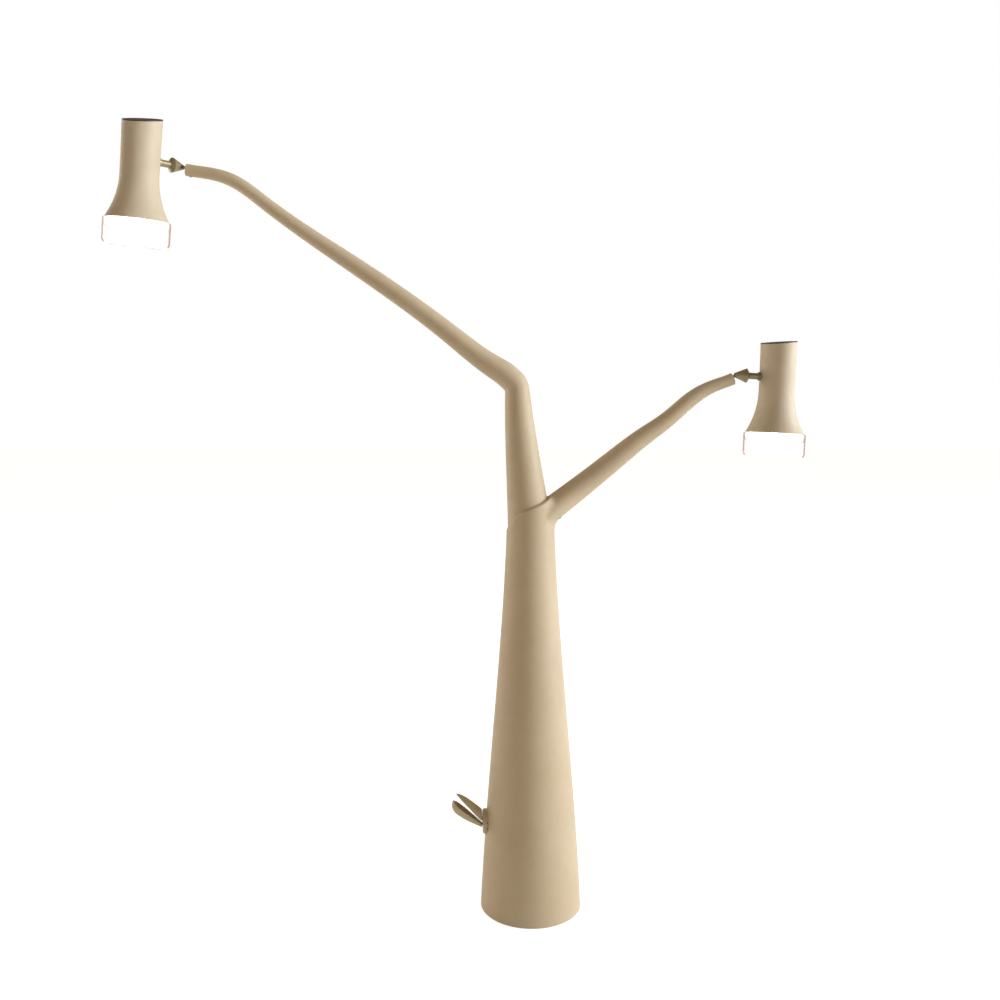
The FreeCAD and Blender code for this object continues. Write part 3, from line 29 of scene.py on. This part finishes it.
# ---- colours, sRGB 0 to 255 ----
LEATHER = (202, 184, 154)
LEATHER_DEEP = (195, 176, 145)
SHADE_PAINT = (202, 187, 161)
SHADE_PAINT_DEEP = (196, 180, 153)
LEAF_PAINT = (200, 187, 152)
LEAF_PAINT_DEEP = (186, 172, 136)
BRONZE = (150, 141, 108)
BRONZE_DEEP = (128, 119, 88)
# Dark colour of the vent caps; their edge also draws the dark line round the shade tops, a painted shade line
# there.
CAP_BLACK_AND_TOP_SHADE = (52, 46, 38)
STEEL = (176, 177, 180)
BLACK_COAT = (38, 38, 40)
IRON = (62, 62, 64)
RUBBER = (32, 32, 33)
CASTING = (150, 151, 153)
PLASTIC_BROWN = (92, 83, 68)
PLASTIC_WHITE = (236, 233, 226)
BOARD_GREEN = (30, 88, 52)
SMALL_SCREW = (214, 203, 178)
FLOOR_PALE = (244, 243, 240)
WARM_WHITE = (255, 247, 232)
WHITE = (255, 255, 255)
GLASS_TINT = (252, 250, 247)
GLASS_PAINTED_EDGE_SHADE = (184, 152, 134)  # painted edge shade: a thin, warm, darker outline drawn where the glass turns away

# ---- noise: scales are cells per metre, depths are metres ----
NOISE_MIDDLE = (0.35, 0.65)  # the values that most of a noise takes
NOISE_BODY = (0.3, 0.7)
LEATHER_PEBBLES = 620.0
LEATHER_FINE = 1700.0
LEATHER_DRIFT = 9.0
LEATHER_PATCHES = 46.0
LEATHER_DRIFT_SHARE = 0.7    # the rest of the tone comes from the patches
LEATHER_GRAIN = (0.22, 0.0006)        # strength and depth of the bump
LEATHER_ROUGH = (0.50, 0.62)
PORE = (150, 128, 98)
PORE_REACH = 0.55            # share of a pebble over which it falls to the pore
PORE_SHARE = 0.10
PORE_HEIGHT_SHARE = 0.7      # the rest of the grain's height is the fine noise
FOLD_TILT_DEG = 38.0
FOLD_SCALE = (4.0, 10.0, 46.0)
FOLD_BUMP = (0.5, 0.004)
CREASE_CENTRE = (0.03, -0.045, 0.93)
CREASE_START = 0.02
CREASE_REACH = 0.16
PAINT_DRIFT = 14.0
PAINT_PEEL = 420.0
PAINT_SMUDGE = 60.0
PAINT_PEEL_DEPTH = 0.0008
PAINT_COAT = (0.03, 0.4)     # weight and roughness of the clear coat
METAL_MARKS = 900.0
METAL_DRIFT = 38.0
METAL_BUMP = (0.10, 0.0004)
PLAIN_DRIFT = 30.0
PLAIN_DARKER = 0.86
PLAIN_DEPTH = 0.0006
BULB_MOTTLE = 60.0
BULB_GLOW = 7.0
GLASS_WAVES = 22.0
GLASS_BUMP = (0.05, 0.002)
GLASS_PAINTED_GLOW = 0.42            # painted glow: the glass's own emission, standing for the bulb's light caught in it
GLASS_EDGE_SHADE_START = 0.50      # facing values between which the painted edge shade comes in
GLASS_EDGE_SHADE_END = 0.74
GLASS_EDGE_SHADE_SHARE = 0.92
GLASS_FLAT = (0.6, 0.92)     # upright part of the normal from which a face counts as flat
GLASS_FLAT_SHARE = 0.25      # how much of the painted edge shade the flat bottom keeps
GLASS_IOR = 1.45

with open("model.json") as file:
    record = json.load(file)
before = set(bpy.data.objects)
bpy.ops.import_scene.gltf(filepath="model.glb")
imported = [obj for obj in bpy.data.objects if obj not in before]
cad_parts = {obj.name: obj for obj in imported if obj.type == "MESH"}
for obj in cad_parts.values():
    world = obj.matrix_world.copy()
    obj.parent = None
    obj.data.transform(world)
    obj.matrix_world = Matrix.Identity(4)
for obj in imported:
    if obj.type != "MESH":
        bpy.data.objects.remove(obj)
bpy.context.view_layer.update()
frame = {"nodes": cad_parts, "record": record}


# ---------------------------------------------------------------- colour and node helpers
def linear(rgb):
    """sRGB 0 to 255 as linear RGBA."""
    values = []
    for part in rgb:
        share = part / 255.0
        values.append(share / 12.92 if share <= 0.04045 else ((share + 0.055) / 1.055) ** 2.4)
    return (*values, 1.0)


class Nodes:
    """Short way to add and join the nodes of one material or world."""

    def __init__(self, owner, output="ShaderNodeOutputMaterial"):
        owner.use_nodes = True
        self.owner = owner
        self.tree = owner.node_tree
        self.tree.nodes.clear()
        self.out = self.add(output)

    def add(self, kind, inputs=None, **settings):
        node = self.tree.nodes.new(kind)
        for key, value in settings.items():
            setattr(node, key, value)
        for key, value in (inputs or {}).items():
            if isinstance(value, bpy.types.NodeSocket):
                self.tree.links.new(value, node.inputs[key])
            else:
                node.inputs[key].default_value = value
        return node

    def place(self):
        return self.add("ShaderNodeTexCoord").outputs["Object"]

    def noise(self, vector, scale, detail=3.0, roughness=0.55):
        inputs = {"Vector": vector, "Scale": scale, "Detail": detail, "Roughness": roughness}
        return self.add("ShaderNodeTexNoise", inputs).outputs["Fac"]

    def remap(self, value, low, high, to_low, to_high):
        inputs = {"Value": value, "From Min": low, "From Max": high, "To Min": to_low, "To Max": to_high}
        return self.add("ShaderNodeMapRange", inputs).outputs["Result"]

    def math(self, operation, a, b=0.0):
        return self.add("ShaderNodeMath", {0: a, 1: b}, operation=operation).outputs[0]

    def blend(self, share, a, b):
        node = self.add("ShaderNodeMix", {"Factor": share}, data_type="RGBA")
        for key, value in ((6, a), (7, b)):
            if isinstance(value, bpy.types.NodeSocket):
                self.tree.links.new(value, node.inputs[key])
            else:
                node.inputs[key].default_value = value
        return node.outputs[2]

    def mottle(self, share, colour, deep, span=NOISE_MIDDLE):
        """Drifts between two colours with a noise."""
        return self.blend(self.remap(share, *span, 0.0, 1.0), linear(colour), linear(deep))

    def bump(self, height, strength, distance, normal=None):
        inputs = {"Height": height, "Strength": strength, "Distance": distance}
        if normal is not None:
            inputs["Normal"] = normal
        return self.add("ShaderNodeBump", inputs).outputs["Normal"]

    def surface(self, socket):
        self.tree.links.new(socket, self.out.inputs["Surface"])
        return self.owner

    def principled(self, inputs):
        return self.surface(self.add("ShaderNodeBsdfPrincipled", inputs).outputs["BSDF"])


# ---------------------------------------------------------------- materials
def new_material(name):
    return Nodes(bpy.data.materials.new(name))


def make_leather():
    """Soft matte leather: pebbled grain, slow colour drift, faint creases under the branch."""
    n = new_material("cover_leather")
    at = n.place()
    cells = n.add("ShaderNodeTexVoronoi", {"Vector": at, "Scale": LEATHER_PEBBLES}, feature="SMOOTH_F1")
    fine = n.noise(at, LEATHER_FINE, 2.0)
    drift = n.noise(at, LEATHER_DRIFT, 4.0)
    patches = n.noise(at, LEATHER_PATCHES, 5.0, 0.6)
    share = n.math("ADD", n.math("MULTIPLY", drift, LEATHER_DRIFT_SHARE),
                   n.math("MULTIPLY", patches, 1.0 - LEATHER_DRIFT_SHARE))
    pores = n.remap(cells.outputs["Distance"], 0.0, PORE_REACH, 0.0, 1.0)
    tone = n.blend(n.math("MULTIPLY", pores, PORE_SHARE), n.mottle(share, LEATHER, LEATHER_DEEP), linear(PORE))
    height = n.math("ADD", n.math("MULTIPLY", pores, -PORE_HEIGHT_SHARE),
                    n.math("MULTIPLY", fine, 1.0 - PORE_HEIGHT_SHARE))
    tilt = (0.0, math.radians(FOLD_TILT_DEG), 0.0)
    stretch = n.add("ShaderNodeMapping", {"Vector": at, "Rotation": tilt, "Scale": FOLD_SCALE})
    folds = n.math("MULTIPLY", n.noise(stretch.outputs["Vector"], 1.0, 3.0, 0.5), crease_mask(n, at))
    return n.principled({"Base Color": tone, "Roughness": n.remap(patches, *NOISE_BODY, *LEATHER_ROUGH),
                         "Normal": n.bump(folds, *FOLD_BUMP, n.bump(height, *LEATHER_GRAIN)),
                         "Sheen Weight": 0.12, "Sheen Roughness": 0.5, "Specular IOR Level": 0.35})


def crease_mask(n, at):
    """1 near the trunk's shoulder, 0 elsewhere."""
    away = n.add("ShaderNodeVectorMath", {0: at, 1: CREASE_CENTRE}, operation="DISTANCE").outputs["Value"]
    return n.remap(away, CREASE_START, CREASE_REACH, 1.0, 0.0)


def make_paint(name, colour, deep, rough=0.6, peel=0.08):
    """Satin paint with orange peel and a slight drift of tone."""
    n = new_material(name)
    at = n.place()
    smudge = n.noise(at, PAINT_SMUDGE, 4.0)
    peel_height = n.noise(at, PAINT_PEEL, 2.0)
    return n.principled({"Base Color": n.mottle(n.noise(at, PAINT_DRIFT, 3.0), colour, deep),
                         "Roughness": n.remap(smudge, *NOISE_BODY, rough - 0.05, rough + 0.07),
                         "Normal": n.bump(peel_height, peel, PAINT_PEEL_DEPTH),
                         "Coat Weight": PAINT_COAT[0], "Coat Roughness": PAINT_COAT[1]})


def make_metal(name, colour, deep, rough=0.32, metallic=1.0):
    """Turned or brushed metal with fine tool marks and duller patches."""
    n = new_material(name)
    at = n.place()
    marks = n.noise(at, METAL_MARKS, 2.0, 0.7)
    drift = n.noise(at, METAL_DRIFT, 4.0)
    return n.principled({"Base Color": n.mottle(drift, colour, deep), "Metallic": metallic,
                         "Roughness": n.remap(drift, *NOISE_BODY, rough - 0.05, rough + 0.10),
                         "Normal": n.bump(marks, *METAL_BUMP)})


def make_plain(name, colour, rough=0.55, grain=500.0, strength=0.15):
    """Moulded plastic, rubber or cast metal: one tone with a fine surface."""
    n = new_material(name)
    at = n.place()
    drift = n.noise(at, PLAIN_DRIFT, 3.0)
    darker = tuple(part * PLAIN_DARKER for part in colour)
    return n.principled({"Base Color": n.mottle(drift, colour, darker, NOISE_BODY),
                         "Roughness": n.remap(drift, *NOISE_BODY, rough - 0.05, rough + 0.05),
                         "Normal": n.bump(n.noise(at, grain, 3.0), strength, PLAIN_DEPTH)})


def make_clear_glass():
    """Thick glass with a painted glow for its bulb's light, and a warm painted edge shade where it turns away
    from the viewer.
    """
    n = new_material("clear_glass")
    waves = n.noise(n.place(), GLASS_WAVES, 2.0)
    # The emission of this glass is a painted glow, standing for the bulb's light caught in the glass.
    body = n.add("ShaderNodeBsdfPrincipled",
                 {"Base Color": linear(GLASS_TINT), "Roughness": 0.0, "IOR": GLASS_IOR,
                  "Transmission Weight": 1.0, "Emission Color": linear(WHITE), "Emission Strength": GLASS_PAINTED_GLOW,
                  "Normal": n.bump(waves, *GLASS_BUMP)}).outputs["BSDF"]
    # Painted edge shade: a fixed warm, darker tint drawn where the glass turns away, in place of the glass
    # there.
    painted_edge_shade = n.add("ShaderNodeEmission", {"Color": linear(GLASS_PAINTED_EDGE_SHADE), "Strength": 1.0}).outputs[0]
    facing = n.add("ShaderNodeLayerWeight", {"Blend": 0.5}).outputs["Facing"]
    normal = n.add("ShaderNodeTexCoord").outputs["Normal"]
    upright = n.add("ShaderNodeSeparateXYZ", {0: normal}).outputs["Z"]
    flat = n.remap(n.math("ABSOLUTE", upright), *GLASS_FLAT, 1.0, GLASS_FLAT_SHARE)
    edge_shade_turn = n.remap(facing, GLASS_EDGE_SHADE_START, GLASS_EDGE_SHADE_END, 0.0, GLASS_EDGE_SHADE_SHARE)
    share = n.math("MULTIPLY", flat, edge_shade_turn)
    return n.surface(n.add("ShaderNodeMixShader", {0: share, 1: body, 2: painted_edge_shade}).outputs[0])


def make_bulb():
    n = new_material("bulb_opal")
    tone = n.mottle(n.noise(n.place(), BULB_MOTTLE, 2.0), WARM_WHITE, WHITE, NOISE_BODY)
    return n.principled({"Base Color": tone, "Roughness": 0.35, "Emission Color": tone,
                         "Emission Strength": BULB_GLOW})


def finish_nodes():
    """Gives each frame node the material of its slot in the record."""
    looks = {
        "cover_leather": make_leather(),
        "shade_paint": make_paint("shade_paint", SHADE_PAINT, SHADE_PAINT_DEEP),
        "cap_paint": make_paint("cap_paint", LEATHER_DEEP, SHADE_PAINT_DEEP),
        "leaf_paint": make_paint("leaf_paint", LEAF_PAINT, LEAF_PAINT_DEEP, 0.5),
        "base_steel": make_paint("base_paint", SHADE_PAINT_DEEP, LEAF_PAINT, 0.5, 0.2),
        # The vent caps' dark colour also serves as a painted shade line round the shade tops.
        "vent_black": make_paint("vent_black", CAP_BLACK_AND_TOP_SHADE, BLACK_COAT, 0.5, 0.2),
        "joint_bronze": make_metal("joint_bronze", BRONZE, BRONZE_DEEP, 0.42, 0.35),
        "small_screw": make_metal("small_screw", SMALL_SCREW, STEEL, 0.3, 0.6),
        "bright_steel": make_metal("bright_steel", STEEL, CASTING, 0.28),
        "mast_steel": make_paint("mast_coat", BLACK_COAT, IRON, 0.5, 0.25),
        "casting": make_plain("casting", CASTING, 0.5, 260.0, 0.4),
        "ballast_iron": make_plain("ballast_iron", IRON, 0.7, 180.0, 0.6),
        "foot_rubber": make_plain("foot_rubber", RUBBER, 0.75),
        "driver_case": make_metal("driver_case", STEEL, CASTING, 0.4),
        "board": make_plain("board", BOARD_GREEN, 0.45),
        "inlet_plastic": make_plain("inlet_plastic", PLASTIC_BROWN, 0.5),
        "sensor_plastic": make_plain("sensor_plastic", BLACK_COAT, 0.5),
        "hub_aluminium": make_metal("hub_aluminium", STEEL, CASTING, 0.35),
        "ring_aluminium": make_metal("ring_aluminium", SMALL_SCREW, STEEL, 0.35, 0.8),
        "holder_plastic": make_plain("holder_plastic", PLASTIC_WHITE, 0.4),
        "reflector_white": make_paint("reflector_white", WHITE, PLASTIC_WHITE, 0.35, 0.05),
        "bulb_glass": make_bulb(),
        "clear_glass": make_clear_glass(),
    }
    for entry in frame["record"]["subparts"]:
        node = frame["nodes"][entry["node"]]
        node.data.materials.clear()
        node.data.materials.append(looks[entry["material_slot"]])


# ---------------------------------------------------------------- room, light and camera
def make_floor():
    """Floor that looks white, also in gloss and glass, and still takes the lamp's shadow."""
    mesh = bpy.data.meshes.new("floor")
    corners = [(x * FLOOR_HALF, y * FLOOR_HALF, 0) for x, y in ((-1, -1), (1, -1), (1, 1), (-1, 1))]
    mesh.from_pydata(corners, [], [(0, 1, 2, 3)])
    floor = bpy.data.objects.new("floor", mesh)
    bpy.context.scene.collection.objects.link(floor)
    n = new_material("floor")
    diffuse = n.add("ShaderNodeBsdfDiffuse", {"Color": linear(FLOOR_PALE)}).outputs[0]
    glow = n.add("ShaderNodeEmission", {"Color": linear(WHITE), "Strength": FLOOR_GLOW}).outputs[0]
    path = n.add("ShaderNodeLightPath")
    seen = n.math("MAXIMUM", path.outputs["Is Camera Ray"],
                  n.math("MAXIMUM", path.outputs["Is Glossy Ray"], path.outputs["Is Transmission Ray"]))
    mix = n.add("ShaderNodeMixShader", {0: n.math("MULTIPLY", seen, FLOOR_GLOW_SHARE), 1: diffuse, 2: glow})
    mesh.materials.append(n.surface(mix.outputs[0]))


def make_world():
    """White where the camera or the glass sees it, and an even warm light otherwise."""
    n = Nodes(bpy.data.worlds.new("studio"), "ShaderNodeOutputWorld")
    light = n.add("ShaderNodeBackground", {"Color": WORLD_WARM, "Strength": WORLD_LIGHT}).outputs[0]
    white = n.add("ShaderNodeBackground", {"Color": linear(WHITE), "Strength": 1.0}).outputs[0]
    path = n.add("ShaderNodeLightPath")
    seen = n.math("MAXIMUM", path.outputs["Is Camera Ray"], path.outputs["Is Transmission Ray"])
    mix = n.add("ShaderNodeMixShader", {0: seen, 1: light, 2: white})
    bpy.context.scene.world = n.surface(mix.outputs[0])


def area_light(name, at, aim_height, size, power, colour):
    light = bpy.data.lights.new(name, "AREA")
    light.shape = "RECTANGLE"
    light.size, light.size_y = size
    light.energy = power
    light.color = linear(colour)[:3]
    lamp = bpy.data.objects.new(name, light)
    lamp.location = at
    lamp.rotation_euler = (Vector((0.0, 0.0, aim_height)) - Vector(at)).to_track_quat("-Z", "Y").to_euler()
    bpy.context.scene.collection.objects.link(lamp)


def make_camera():
    camera = bpy.data.cameras.new("camera")
    camera.sensor_width = SENSOR_MM
    camera.lens = FOCAL_PX / IMAGE_SIZE * SENSOR_MM
    camera.shift_y = (HORIZON_ROW - IMAGE_SIZE / 2) / IMAGE_SIZE
    camera.clip_start = NEAR_CLIP
    lens = bpy.data.objects.new("camera", camera)
    lens.location = CAMERA_AT
    lens.rotation_euler = (math.radians(90), 0.0, math.radians(CAMERA_TURN_DEG))
    bpy.context.scene.collection.objects.link(lens)
    bpy.context.scene.camera = lens


finish_nodes()
make_floor()
make_world()
area_light("key", **KEY_LIGHT)
area_light("edge", **EDGE_LIGHT)
make_camera()
bpy.context.scene.view_settings.view_transform = "Standard"
